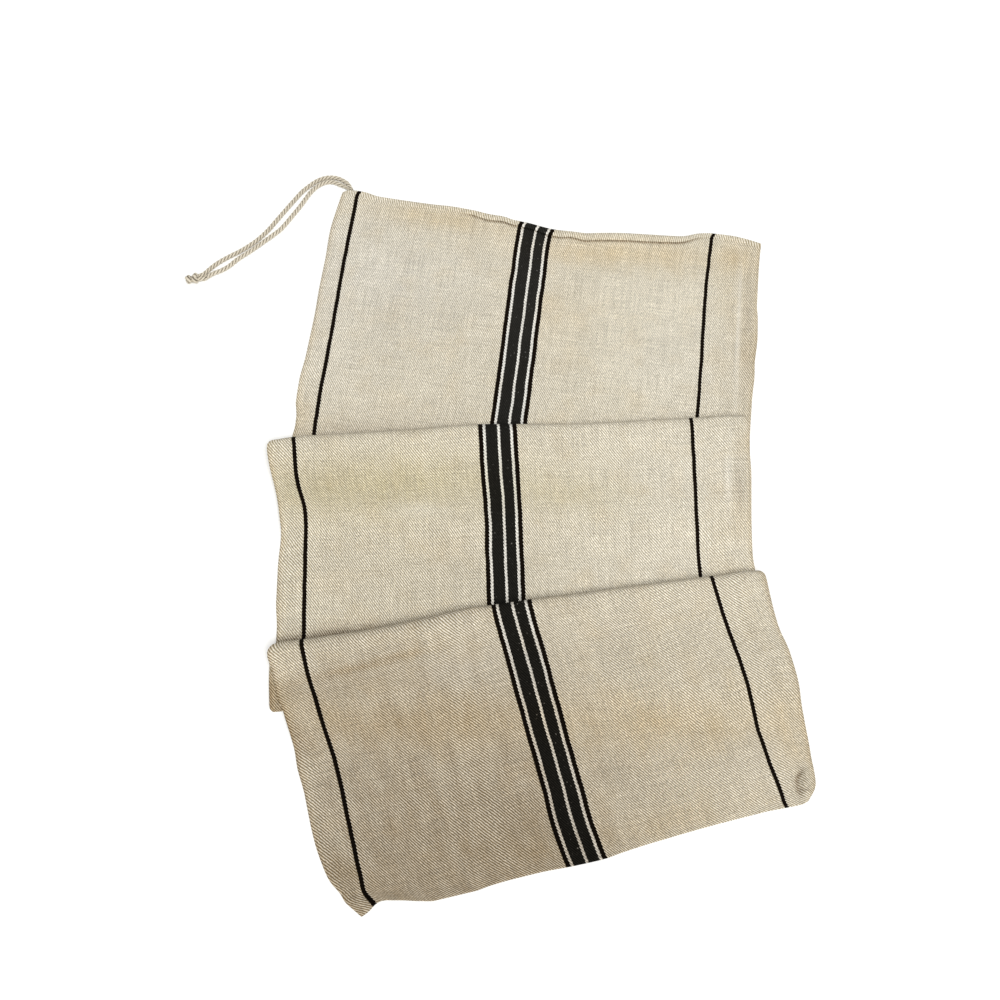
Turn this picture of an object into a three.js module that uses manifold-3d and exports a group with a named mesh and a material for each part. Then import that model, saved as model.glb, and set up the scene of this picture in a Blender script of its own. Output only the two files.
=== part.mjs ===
// Empty grain sack of heavy striped twill, lying flat in two loose back-and-forth folds, with a
// doubled tie cord sewn in at one corner of its mouth. Millimetres, +Z up, +X to the right,
// the mouth at +Y. The floor is z = 0 and the origin is under the middle of the folded sack.
import * as THREE from 'three';
import { mergeVertices } from 'three/addons/utils/BufferGeometryUtils.js';
import Module from 'manifold-3d';

// Cloth
const WALL = 1.3; // one layer of cloth
const INSIDE_GAP = 0.8; // air between the front and the back of the empty sack
const HALF_SACK = INSIDE_GAP / 2 + WALL;
const HEM_EXTRA = 1.3; // how much the rolled hem is thicker than the cloth, on each side
const LYING = HALF_SACK; // height of the sack's middle where it lies on the floor
const AT_HEM = HALF_SACK + HEM_EXTRA;
const ON_TOP = 5.8; // height of the layer that turns back over the one on the floor
const OVER_FOLD = 10.7; // height of the third layer, over the hidden fold
const EDGE_THINNING = 0.55; // the sack narrows to this share at its side and bottom edges

// Folds
const HIDDEN_RADIUS = [2.4, 2.4]; // fold pressed flat under the next layer, at its left and right end
const CREST_1_RADIUS = [9, 6.5]; // loose fold that shows, between the first and the second tier
const CREST_2_RADIUS = [9.5, 7.2]; // loose fold that shows, between the second and the third tier
const HIDDEN_STEPS = 6;
const CREST_STEPS = 8;

// Sections from the mouth to the bottom. left and right are the plan places of the side edges,
// height is that of the sack's middle, bow is how far the middle of the section lies beyond the
// straight line between its ends, towards the mouth side, wave is its share of the mouth's uneven
// line (both are nothing where left out), and steps lead up to the section. A row with a radius is
// a fold, which starts at its height and turns over upwards.
const SECTIONS = [
  { name: 'past mouth', tier: 1, left: [-220, 422], right: [280, 348], height: AT_HEM, wave: 1, steps: 0 },
  { name: 'mouth', tier: 1, left: [-221, 418], right: [279, 344], height: AT_HEM, wave: 1, steps: 1 },
  { name: 'hem', tier: 1, left: [-223, 408], right: [278, 334], height: AT_HEM, wave: 1, steps: 2 },
  { name: 'below hem', tier: 1, left: [-229, 380], right: [275, 310], height: LYING, wave: 0.9, steps: 3 },
  { name: 'upper 1', tier: 1, left: [-240, 310], right: [270, 266], height: LYING, wave: 0.5, steps: 2 },
  { name: 'middle 1', tier: 1, left: [-252, 219], right: [264, 212], height: LYING, wave: 0.2, steps: 2 },
  { name: 'lower 1', tier: 1, left: [-263, 114], right: [256, 144], height: LYING, bow: 3, steps: 2 },
  { name: 'hidden fold 1', left: [-270, 3], right: [236, -15], height: LYING, bow: 3, steps: 3,
    radius: HIDDEN_RADIUS, turnSteps: HIDDEN_STEPS },
  { name: 'back 1', tier: 0, left: [-279, 40], right: [243, 50], height: ON_TOP, bow: 4, steps: 2 },
  { name: 'crest 1', left: [-289, 80], right: [248, 108], height: ON_TOP, bow: 5, steps: 2,
    radius: CREST_1_RADIUS, turnSteps: CREST_STEPS },
  { name: 'sag 2', tier: 2, left: [-282, 36], right: [246, 62], height: 12, bow: 4, steps: 4 },
  { name: 'over 1', tier: 2, left: [-273, 3], right: [243, -13], height: OVER_FOLD, bow: 3, steps: 3 },
  { name: 'off 1', tier: 2, left: [-270, -42], right: [242, -58], height: LYING, bow: 4, steps: 3 },
  { name: 'lower 2', tier: 2, left: [-269, -145], right: [245, -106], height: LYING, bow: 7, steps: 3 },
  { name: 'hidden fold 2', left: [-270, -217], right: [251, -192], height: LYING, bow: 3, steps: 3,
    radius: HIDDEN_RADIUS, turnSteps: HIDDEN_STEPS },
  { name: 'back 2', tier: 0, left: [-272, -184], right: [252, -133], height: ON_TOP, bow: 7, steps: 2 },
  { name: 'crest 2', left: [-273, -154], right: [254, -71], height: ON_TOP, bow: 11, steps: 2,
    radius: CREST_2_RADIUS, turnSteps: CREST_STEPS },
  { name: 'sag 3', tier: 3, left: [-267, -188], right: [262, -116], height: 12, bow: 8, steps: 4 },
  { name: 'over 2', tier: 3, left: [-257, -219], right: [278, -190], height: OVER_FOLD, bow: 4, steps: 3 },
  { name: 'off 2', tier: 3, left: [-239, -268], right: [286, -236], height: LYING, steps: 3 },
  { name: 'lower 3', tier: 3, left: [-214, -359], right: [289.5, -278], height: LYING, bow: -2, steps: 3 },
  { name: 'corner', tier: 3, left: [-194, -397], right: [289, -296], height: LYING, bow: -2, steps: 2 },
  { name: 'bottom', tier: 3, left: [-168, -420], right: [281, -312], height: LYING, bow: -2, steps: 2 },
];

// Uneven line of the mouth: share of the width and how far the rim lies beyond the straight line
const MOUTH_LINE = [
  { across: 0, beyond: -2 },
  { across: 0.02, beyond: 2 },
  { across: 0.1, beyond: -1 },
  { across: 0.24, beyond: -4 },
  { across: 0.42, beyond: -12 },
  { across: 0.57, beyond: -19 },
  { across: 0.68, beyond: -12 },
  { across: 0.82, beyond: -5 },
  { across: 0.9, beyond: 5 },
  { across: 1, beyond: 0 },
];

// Notch in the bottom edge beside its left corner, which leaves the corner standing out as a beak
const BEAK_NOTCH = { across: 0.045, width: 0.035, depth: 8, reach: 26 };

// Places of the grid lines across the sack, as shares of its width, closer at the side edges
const ACROSS = [0, 0.012, 0.035, 0.07, 0.15, 0.25, 0.36, 0.47, 0.57, 0.67, 0.77, 0.86, 0.92, 0.965, 0.988, 1];

// Soft ridges of the front layer: which tier, from where to where in plan, how wide and how high
const RIDGES = [
  { tier: 1, from: [60, 352], to: [190, 348], width: 16, rise: 2.4 },
  { tier: 1, from: [262, 320], to: [252, 130], width: 7, rise: 1.0 },
  { tier: 2, from: [-90, -15], to: [40, -5], width: 20, rise: 2.2 },
  { tier: 2, from: [231, 70], to: [228, -60], width: 7, rise: 1.0 },
  { tier: 3, from: [-60, -330], to: [-35, -395], width: 14, rise: 2.6 },
  { tier: 3, from: [55, -255], to: [150, -222], width: 18, rise: 2.4 },
  { tier: 3, from: [276, -262], to: [276, -298], width: 9, rise: 4.5 },
  { tier: 3, from: [-186, -398], to: [-160, -404], width: 10, rise: 3.5 },
];

// Tie cord: three strands laid together, doubled, its two legs lying on the floor
const CORD_RADIUS = 2.75;
const CORD_VALLEY = 2.0; // radius in the grooves between the strands
const CORD_LAY = 14; // length of one full turn of the strands
const CORD_STRANDS = 3;
const STEPS_PER_LAY = 9;
const CORD_LIFT = 0.1; // the cord's lowest points lie this far off the floor
const ON_FLOOR = CORD_RADIUS + CORD_LIFT;

const OUTER_LEG_ROUTE = [
  [-208.5, 419.3], [-214.4, 427.4], [-219.5, 431.8], [-225.5, 435.4], [-231.6, 437.4], [-238, 437.8],
  [-244, 436.9], [-250, 434.6], [-256, 430.9], [-262, 425.8], [-270, 418], [-281, 403], [-291, 388.6],
  [-300.7, 374.4], [-306.5, 365.8], [-312, 358.9], [-320, 350], [-329, 342.3], [-340, 334.3], [-352, 327.1],
  [-362.5, 320.2], [-371, 313], [-379.3, 304.2],
];
const INNER_LEG_ROUTE = [
  [-215.1, 419.2], [-219.4, 423.9], [-225.4, 427.7], [-231.5, 430.7], [-237.5, 431.6], [-243.6, 430.5],
  [-249.5, 427.4], [-255.2, 422.7], [-261, 415.4], [-266.5, 406], [-272, 396.5], [-277.5, 388], [-283, 379.6],
  [-288.6, 371.2], [-294.2, 363.9], [-300, 358.4], [-305.6, 353.4], [-311.2, 348.6], [-317, 343.6],
  [-328.2, 334.1], [-339.4, 325.5], [-345, 320.5], [-350.5, 314.9], [-356, 310.7], [-361.8, 307.4],
  [-367.5, 305], [-373, 301.8], [-378, 297.9],
];

// Knot in the tie's free ends, along its own axis from the legs to the blunt cut end
const KNOT_START = [-379.9, 299.6];
const KNOT_END = [-402.4, 294.2];
const KNOT_PROFILE = [
  { name: 'entry', along: 0, halfWidth: 6.2, halfHeight: 3.2 },
  { name: 'throat', along: 0.25, halfWidth: 4.4, halfHeight: 4.2 },
  { name: 'wrap', along: 0.46, halfWidth: 5.9, halfHeight: 5.6 },
  { name: 'waist', along: 0.62, halfWidth: 4.5, halfHeight: 4.6 },
  { name: 'cut end', along: 0.8, halfWidth: 5.0, halfHeight: 5.0 },
  { name: 'tip', along: 1, halfWidth: 2.8, halfHeight: 2.6 },
];
const KNOT_STEPS = 22;
const KNOT_SIDES = 16;
const KNOT_STRANDS = 4;
const KNOT_RIDGE = 0.45; // how far the wrapped strands stand out from the knot
const KNOT_TURNS = 1.6;
const KNOT_BEND = 0.3; // share of the knot's length over which its axis rises to full height

const LINEN = new THREE.MeshStandardMaterial({ color: 0xcdc0a2, roughness: 0.92, metalness: 0 });
const CORD_COTTON = new THREE.MeshStandardMaterial({ color: 0xd3c8b2, roughness: 0.9, metalness: 0 });

// Side edge of the sack as a list of stations, a smooth run between folds and a half turn at each
function edgeStations(side) {
  const stations = [];
  let run = [];
  let runRows = [];

  const closeRun = () => {
    const curve = new THREE.CatmullRomCurve3(run, false, 'centripetal');
    for (let key = 1; key < run.length; key += 1) {
      const before = runRows[key - 1];
      const row = runRows[key];
      for (let step = 1; step <= row.steps; step += 1) {
        const share = step / row.steps;
        stations.push({
          point: curve.getPoint((key - 1 + share) / (run.length - 1)),
          bow: THREE.MathUtils.lerp(before.bow ?? 0, row.bow ?? 0, share),
          wave: THREE.MathUtils.lerp(before.wave ?? 0, row.wave ?? 0, share),
          tier: row.tier ?? before.tier,
        });
      }
    }
  };

  SECTIONS.forEach((row, index) => {
    const place = new THREE.Vector3(...row[side], row.height);
    if (!row.radius) {
      run.push(place);
      runRows.push(row);
      return;
    }
    const radius = row.radius[side === 'left' ? 0 : 1];
    const before = new THREE.Vector3(...SECTIONS[index - 1][side], row.height);
    const after = new THREE.Vector3(...SECTIONS[index + 1][side], row.height);
    const outward = place.clone().sub(before).normalize();
    outward.add(place.clone().sub(after).normalize()).normalize();
    const turn = [];
    for (let step = 0; step <= row.turnSteps; step += 1) {
      const angle = Math.PI * (step / row.turnSteps - 0.5);
      const point = place.clone().addScaledVector(outward, radius * (Math.cos(angle) - 1));
      point.z += radius * (1 + Math.sin(angle));
      turn.push(point);
    }
    run.push(turn[0]);
    runRows.push(row);
    closeRun();
    turn.slice(1).forEach((point) => stations.push({ point, bow: row.bow, wave: 0, tier: 0 }));
    run = [turn[turn.length - 1]];
    runRows = [row];
  });
  closeRun();
  const first = SECTIONS[0];
  const point = new THREE.Vector3(...first[side], first.height);
  const rim = { point, bow: 0, wave: first.wave, tier: first.tier };
  return [rim, ...stations];
}

const LEFT_EDGE = edgeStations('left');
const RIGHT_EDGE = edgeStations('right');
const LAST_COLUMN = ACROSS.length - 1;
const LAST_STATION = LEFT_EDGE.length - 1;

// Value of a column between the rows of a short table that are nearest to a place
function between(table, placeColumn, place, column) {
  const next = Math.max(1, table.findIndex((row) => row[placeColumn] >= place));
  const before = table[next - 1];
  const after = table[next];
  const share = THREE.MathUtils.smoothstep(place, before[placeColumn], after[placeColumn]);
  return THREE.MathUtils.lerp(before[column], after[column], share);
}

// Middle of the sack, between its two layers, at one grid line across and one station along
function middle(column, station) {
  const share = ACROSS[column];
  const left = LEFT_EDGE[station];
  const right = RIGHT_EDGE[station];
  const point = left.point.clone().lerp(right.point, share);
  const away = new THREE.Vector3(left.point.y - right.point.y, right.point.x - left.point.x, 0).normalize();
  const fromBottom = left.point.distanceTo(LEFT_EDGE[LAST_STATION].point) / BEAK_NOTCH.reach;
  const fromNotch = (share - BEAK_NOTCH.across) / BEAK_NOTCH.width;
  const notch = left.tier === 3 ? BEAK_NOTCH.depth * Math.exp(-(fromBottom ** 2) - fromNotch ** 2) : 0;
  const bow = left.bow * 4 * share * (1 - share);
  const wave = left.wave * between(MOUTH_LINE, 'across', share, 'beyond');
  point.addScaledVector(away, bow + wave + notch);
  point.z = Math.max(point.z, LYING);
  return point;
}

function frontNormal(column, station) {
  const clampColumn = (value) => THREE.MathUtils.clamp(value, 0, LAST_COLUMN);
  const clampStation = (value) => THREE.MathUtils.clamp(value, 0, LAST_STATION);
  const across = middle(clampColumn(column + 1), station).sub(middle(clampColumn(column - 1), station));
  const along = middle(column, clampStation(station + 1)).sub(middle(column, clampStation(station - 1)));
  return along.cross(across).normalize();
}

// How far the front layer stands up off the back one at a place in plan
function ridgeLift(tier, point) {
  let lift = 0;
  RIDGES.filter((ridge) => ridge.tier === tier).forEach((ridge) => {
    const start = new THREE.Vector3(...ridge.from, 0);
    const end = new THREE.Vector3(...ridge.to, 0);
    const nearest = new THREE.Vector3();
    const flat = new THREE.Vector3(point.x, point.y, 0);
    new THREE.Line3(start, end).closestPointToPoint(flat, true, nearest);
    const distance = nearest.distanceTo(flat) / ridge.width;
    lift += ridge.rise * Math.exp(-distance * distance);
  });
  return lift;
}

// A sheet of box cells moved onto the folds, with its faces at two distances from the sack's middle
function foldedBox(columns, stations, frontDistance, backDistance) {
  const cellsAcross = columns[1] - columns[0];
  const cellsAlong = stations[1] - stations[0];
  const box = new THREE.BoxGeometry(cellsAcross, cellsAlong, 2, cellsAcross, cellsAlong, 1);
  const places = box.attributes.position;
  for (let i = 0; i < places.count; i += 1) {
    const column = Math.round(places.getX(i) + cellsAcross / 2) + columns[0];
    const station = stations[1] - Math.round(places.getY(i) + cellsAlong / 2);
    const point = middle(column, station);
    const normal = frontNormal(column, station);
    const front = places.getZ(i) > 0;
    const lift = front ? ridgeLift(LEFT_EDGE[station].tier, point) : 0;
    const distance = front ? frontDistance(column, station) + lift : -backDistance(column, station);
    point.addScaledVector(normal, distance);
    places.setXYZ(i, point.x, point.y, Math.max(point.z, 0));
  }
  return box;
}

const wasm = await Module();
wasm.setup();

function toSolid(geometry) {
  const bare = geometry.clone();
  bare.deleteAttribute('normal');
  bare.deleteAttribute('uv');
  const merged = mergeVertices(bare, 1e-4);
  return new wasm.Manifold(new wasm.Mesh({
    numProp: 3,
    vertProperties: new Float32Array(merged.attributes.position.array),
    triVerts: new Uint32Array(merged.index.array),
  }));
}

function toGeometry(solid) {
  const mesh = solid.getMesh();
  const geometry = new THREE.BufferGeometry();
  geometry.setAttribute('position', new THREE.BufferAttribute(mesh.vertProperties, 3));
  geometry.setIndex(new THREE.BufferAttribute(mesh.triVerts, 1));
  geometry.computeVertexNormals();
  return geometry;
}

function sackCloth() {
  const firstHemStation = 1;
  const lastHemStation = 3;
  const outside = (column, station) => {
    const hem = station >= firstHemStation && station <= lastHemStation ? HEM_EXTRA : 0;
    const atEdge = column === 0 || column === LAST_COLUMN || station === LAST_STATION;
    return (HALF_SACK + hem) * (atEdge ? EDGE_THINNING : 1);
  };
  const inside = () => INSIDE_GAP / 2;
  const outer = foldedBox([0, LAST_COLUMN], [firstHemStation, LAST_STATION], outside, outside);
  const hollow = foldedBox([1, LAST_COLUMN - 1], [0, LAST_STATION - 1], inside, inside);
  const mesh = new THREE.Mesh(toGeometry(toSolid(outer).subtract(toSolid(hollow))), LINEN);
  mesh.name = 'sack_cloth';
  return mesh;
}

// A round bar bent along a route, its section given by a function of the share along and the angle
function bentBar(curve, steps, sides, sectionAt) {
  const bar = new THREE.CylinderGeometry(1, 1, 1, sides, steps);
  const places = bar.attributes.position;
  for (let i = 0; i < places.count; i += 1) {
    const along = places.getY(i) + 0.5;
    const centre = curve.getPointAt(along);
    const tangent = curve.getTangentAt(along);
    const sideways = new THREE.Vector3(-tangent.y, tangent.x, 0).normalize();
    const upward = tangent.clone().cross(sideways);
    const radius = Math.hypot(places.getX(i), places.getZ(i));
    const [width, height] = sectionAt(along, Math.atan2(places.getX(i), places.getZ(i)));
    centre.addScaledVector(sideways, radius * width);
    centre.addScaledVector(upward, radius * height);
    places.setXYZ(i, centre.x, centre.y, Math.max(centre.z, CORD_LIFT));
  }
  return bar;
}

// Corner points of the section alternate between the strands and the grooves, and turn with the lay
function tieLeg(name, route) {
  const curve = new THREE.CatmullRomCurve3(route.map(([x, y]) => new THREE.Vector3(x, y, ON_FLOOR)));
  const length = curve.getLength();
  const sides = CORD_STRANDS * 2;
  const steps = Math.round((length / CORD_LAY) * STEPS_PER_LAY);
  const section = (along, angle) => {
    const corner = Math.round((angle / (2 * Math.PI)) * sides);
    const radius = corner % 2 === 0 ? CORD_RADIUS : CORD_VALLEY;
    const turned = angle - (2 * Math.PI * along * length) / CORD_LAY;
    return [radius * Math.cos(turned), radius * Math.sin(turned)];
  };
  const solid = toSolid(bentBar(curve, steps, sides, section));
  const mesh = new THREE.Mesh(toGeometry(solid), CORD_COTTON);
  mesh.name = name;
  return mesh;
}

function tieKnot() {
  const axisHeight = Math.max(...KNOT_PROFILE.map((row) => row.halfHeight)) + KNOT_RIDGE + CORD_LIFT;
  const start = new THREE.Vector3(...KNOT_START, KNOT_PROFILE[0].halfHeight + KNOT_RIDGE + CORD_LIFT);
  const end = new THREE.Vector3(...KNOT_END, axisHeight);
  const bend = start.clone().lerp(end, KNOT_BEND).setZ(axisHeight);
  const curve = new THREE.QuadraticBezierCurve3(start, bend, end);
  const section = (along, angle) => {
    const ridge = KNOT_RIDGE * Math.cos(KNOT_STRANDS * (angle + 2 * Math.PI * KNOT_TURNS * along));
    return [
      (between(KNOT_PROFILE, 'along', along, 'halfWidth') + ridge) * Math.cos(angle),
      (between(KNOT_PROFILE, 'along', along, 'halfHeight') + ridge) * Math.sin(angle),
    ];
  };
  const solid = toSolid(bentBar(curve, KNOT_STEPS, KNOT_SIDES, section));
  const mesh = new THREE.Mesh(toGeometry(solid), CORD_COTTON);
  mesh.name = 'tie_knot';
  return mesh;
}

const feedSack = new THREE.Group();
feedSack.add(sackCloth());
feedSack.add(tieLeg('tie_leg_outer', OUTER_LEG_ROUTE));
feedSack.add(tieLeg('tie_leg_inner', INNER_LEG_ROUTE));
feedSack.add(tieKnot());

export default feedSack;
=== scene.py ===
"""Empty striped grain sack lying in two loose folds, with its doubled tie cord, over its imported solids.

Laid out as an add-on: settings, an operator for each piece and for the stage, and a sidebar panel.
The tables are in millimetres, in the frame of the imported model: +Z up, the mouth at +Y, the floor at z = 0.
"""

import math
from collections import namedtuple
from functools import partial

import bmesh
import bpy
import numpy as np
from bpy.props import FloatProperty, FloatVectorProperty, IntProperty, PointerProperty
from bpy.types import Operator, Panel, PropertyGroup
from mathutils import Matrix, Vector


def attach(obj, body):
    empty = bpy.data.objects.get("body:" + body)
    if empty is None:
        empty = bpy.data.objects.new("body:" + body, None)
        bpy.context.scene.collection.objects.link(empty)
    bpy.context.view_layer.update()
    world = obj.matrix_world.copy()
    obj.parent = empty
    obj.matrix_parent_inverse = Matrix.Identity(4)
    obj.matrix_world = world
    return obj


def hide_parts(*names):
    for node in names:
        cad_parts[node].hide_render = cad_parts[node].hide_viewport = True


bl_info = {
    "name": "Feed Sack",
    "version": (1, 0, 0),
    "blender": (4, 5, 0),
    "location": "View3D > Sidebar > Feed Sack",
    "description": "Builds an empty, folded and striped grain sack with its tie cord",
    "category": "Object",
}

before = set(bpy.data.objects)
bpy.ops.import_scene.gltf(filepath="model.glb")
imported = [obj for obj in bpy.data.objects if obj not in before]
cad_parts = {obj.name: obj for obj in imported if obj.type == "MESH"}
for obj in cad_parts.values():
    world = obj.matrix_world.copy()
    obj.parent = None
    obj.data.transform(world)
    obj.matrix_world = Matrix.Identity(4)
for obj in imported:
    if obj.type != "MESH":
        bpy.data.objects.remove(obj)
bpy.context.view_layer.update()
MM = 0.001
UP = np.array([0.0, 0.0, 1.0])
# Places closer than this count as one
SAME = 1e-6

# Stage: the camera's target and sensor in millimetres, the floor's half size in metres and its drop below the
# sack in millimetres, where the key light stands in metres, and how broad it is
CAMERA_TARGET = (-31, 19, 0)
SENSOR_WIDTH = 36
FLOOR_SIZE = 6.0
FLOOR_DROP = 0.5
KEY_PLACE = (0.25, -0.62, 1.5)
KEY_SPREAD = math.radians(35)

# Cloth of the sack: one layer, the space between the two, and the heights of the sack's middle where it lies
# on the floor, at the hem, on one tier and over a hidden fold
WALL = 1.3
INSIDE_GAP = 0.8
HALF_SACK = INSIDE_GAP / 2 + WALL
HEM_EXTRA = 1.3
LYING = HALF_SACK
AT_HEM = HALF_SACK + HEM_EXTRA
ON_TOP = 5.8
OVER_FOLD = 10.7
# At the side folds, where less than this is left of the half thickness, nothing lifts or dips
EDGE_THIN = 0.5

# Sections from the mouth to the bottom. left and right are the plan places of the side edges, height is
# that of the sack's middle, bow is how far the section's middle lies beyond the straight line between its
# ends, wave is its share of the mouth's uneven line, and a row with a radius (left, right) is a fold that
# turns over upwards.
Section = namedtuple("Section", "name tier left right height bow wave radius", defaults=(0, 0, None))
SECTIONS = (
    Section("mouth", 1, (-221, 418), (279, 344), AT_HEM, 0, 1),
    Section("hem", 1, (-223, 408), (278, 334), AT_HEM, 0, 1),
    Section("below hem", 1, (-229, 380), (275, 310), LYING, 0, 0.9),
    Section("upper 1", 1, (-240, 310), (270, 266), LYING, 0, 0.5),
    Section("middle 1", 1, (-252, 219), (264, 212), LYING, 0, 0.2),
    Section("lower 1", 1, (-263, 114), (256, 144), LYING, 3),
    Section("hidden fold 1", 1, (-270, 3), (236, -15), LYING, 3, 0, (2.4, 2.4)),
    Section("back 1", 0, (-279, 40), (243, 50), ON_TOP, 4),
    Section("crest 1", 0, (-289, 80), (248, 108), ON_TOP, 5, 0, (9, 6.5)),
    Section("sag 2", 2, (-282, 36), (246, 62), 12, 4),
    Section("over 1", 2, (-273, 3), (243, -13), OVER_FOLD, 3),
    Section("off 1", 2, (-270, -42), (242, -58), LYING, 4),
    Section("lower 2", 2, (-269, -145), (245, -106), LYING, 7),
    Section("hidden fold 2", 2, (-270, -217), (251, -192), LYING, 3, 0, (2.4, 2.4)),
    Section("back 2", 0, (-272, -184), (252, -133), ON_TOP, 7),
    Section("crest 2", 0, (-273, -154), (254, -71), ON_TOP, 11, 0, (9.5, 7.2)),
    Section("sag 3", 3, (-267, -188), (262, -116), 12, 8),
    Section("over 2", 3, (-257, -219), (278, -190), OVER_FOLD, 4),
    Section("off 2", 3, (-239, -268), (286, -236), LYING, 0),
    Section("lower 3", 3, (-214, -359), (289.5, -278), LYING, -2),
    Section("corner", 3, (-194, -397), (289, -296), LYING, -2),
    Section("bottom", 3, (-168, -420), (281, -312), LYING, -2),
)
RUN_STEPS = 24
TURN_STEPS = 32
# Share of a fold's turn after which its cloth belongs to the next tier
TURNED_OVER = 0.4

# Uneven line of the mouth: share of the width and how far the rim lies beyond the straight line
MOUTH_LINE = (
    (0, -2), (0.02, 2.6), (0.05, 2.1), (0.09, -1.9), (0.22, -3.2), (0.26, -2.6), (0.32, -4.4), (0.355, -6.9),
    (0.39, -7.6), (0.415, -10.6), (0.45, -12), (0.51, -16.5), (0.55, -17.3), (0.585, -17.8), (0.62, -15),
    (0.68, -10.7), (0.74, -8.4), (0.82, -4.9), (0.835, -1.8), (0.852, 2.6), (0.89, 5.8), (0.93, 5.8),
    (0.967, 3.6), (1, 0),
)

# Uneven lines of the two crests: share of the width and how far the crest lies towards the mouth there,
# fading over its reach
CREST_LINES = {
    "crest 1": (
        (0, 2), (0.08, 4), (0.17, 3.2), (0.29, 3.1), (0.345, 4.1), (0.43, 5), (0.5, 3.3), (0.58, 1.6),
        (0.64, 0.7), (0.755, 1.2), (0.81, 2.8), (0.87, 3.4), (0.93, 5.3), (0.96, 6.3), (1, 6),
    ),
    "crest 2": (
        (0, 3), (0.02, 2.9), (0.046, 1.4), (0.075, -0.2), (0.13, -2.3), (0.19, -4.3), (0.26, -4.7),
        (0.33, -3.8), (0.37, -2.3), (0.42, -1.7), (0.56, -1.9), (0.62, -2.8), (0.67, -2.3), (0.75, -1.7),
        (0.84, -0.3), (0.92, 1.3), (0.95, 3.2), (1, 3.4),
    ),
}
CREST_REACH = 22.0

# Uneven line of the bottom edge: share of the width and how far it draws in there, fading over its reach
BOTTOM_LINE = (
    (0, -3.3), (0.018, -2.7), (0.036, -0.3), (0.07, 2.3), (0.09, 3.5), (0.127, 0.4), (0.16, -2.7),
    (0.25, -2.7), (0.28, -1.1), (0.34, 0), (0.39, 0), (0.47, -1.8), (0.53, -2.4), (0.58, -0.4), (0.65, 1.5),
    (0.8, 3.2), (0.9, 3), (0.958, 1.4), (0.985, 0.8), (1, 2.5),
)
BOTTOM_REACH = 25.0

# Uneven side edges: length from the mouth and how far the edge stands out there, fading over its reach
LEFT_EDGE = (
    (0, 0), (25, 1.5), (48, 2.5), (80, 0.5), (115, 0), (140, -1), (185, 0), (212, 2.5), (234, 2), (247, -1),
    (262, -1.5), (276, 0), (515, 1.3), (558, -1.5), (610, 0), (630, -1), (665, 2), (692, 2), (713, -0.5),
    (920, 1.2), (943, -1.2), (986, 0), (1002, -1.6), (1044, -0.4), (1063, 2), (1084, 0), (1145, 0),
    (1157, -2.5), (1165, 0),
)
RIGHT_EDGE = (
    (0, 1), (20, 0), (100, 0), (121, 1.6), (161, 2.4), (202, 0.7), (222, 1.3), (260, 0), (540, 0), (560, 1.3),
    (602, 0), (640, 1.5), (656, 3), (700, 0), (918, -1.6), (961, -1), (980, 2.5), (998, 2.6), (1034, 0),
    (1100, 0), (1126, 1.1), (1167, 1.9),
)
EDGE_REACH = 25.0
# Round corner at each end of a fold, as a multiple of the fold's radius
FOLD_CORNER = 1.2

# Rolled hem, in lengths from the rim: its usual depth, where its unevenness has faded out, and down to where
# its cloth is double. Then its depth from share to share of the width, how far its lower edge stands clear of
# the cloth there, and how much of the roll is left where the edge lies flat.
HEM_DEPTH = 10.0
HEM_FADE = 2.5 * HEM_DEPTH
HEM_DOUBLE = 0.9 * HEM_DEPTH
HEM_LINE = (
    (0, 7), (0.3, 7), (0.36, 9), (0.395, 7.5), (0.45, 8), (0.53, 10.5), (0.555, 9), (0.59, 11), (0.7, 11),
    (0.8, 9.5), (0.84, 7.5), (0.88, 6.5), (1, 7),
)
HEM_CLEAR = (
    (0, 0), (0.27, 0.05), (0.34, 0.9), (0.4, 1), (0.45, 0.7), (0.53, 0.9), (0.83, 1), (0.87, 0.15), (1, 0.1),
)
HEM_FLAT = 0.35
# Profile of the hem from the rim down: how high the roll lies, its added rise where the edge is clear, how
# deep the cloth dips under the edge, how far the dip runs back under the roll, and the painted shade in
# the dip
HEM_ROLL = (
    (0, -0.3), (0.5, 0.5), (1.2, 0.95), (2.2, 1.2), (3.5, 1.35), (6.5, 1.35), (8, 1.2), (9, 0.9), (9.6, 0.45),
    (10, 0),
)
HEM_RISE = 0.7
HEM_DIP = (
    (9, 0), (9.6, 0.1), (10, 0.9), (10.4, 1.2), (11, 0.7), (12, -0.3), (13.5, -0.7), (17, -0.5), (27, 0),
)
HEM_TUCK = ((9, 0), (9.6, 0), (10, 1.4), (10.4, 1.5), (11, 0.4), (12, 0))
HEM_DIP_SHADE = ((9, 0), (9.7, 0.3), (10.1, 0.9), (10.7, 0.9), (11.3, 0.2), (13, 0))
HEM_ROWS = (0, 0.5, 1.2, 2.2, 3.5, 5, 6.5, 8, 9, 9.6, 10, 10.4, 11, 12, 13.5)
# The hem is drawn this far to the side at the rim, so the stripes lean there
HEM_LEAN = 3.0
# Weight of the thickness where the cloth is a single layer, against 1 in the hem
SINGLE_LAYER = 0.5

# Notch in the bottom edge beside its left corner, which leaves the corner standing out as a beak
Notch = namedtuple("Notch", "tier across width depth reach")
BEAK_NOTCH = Notch(3, 0.045, 0.035, 8, 26)

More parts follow.
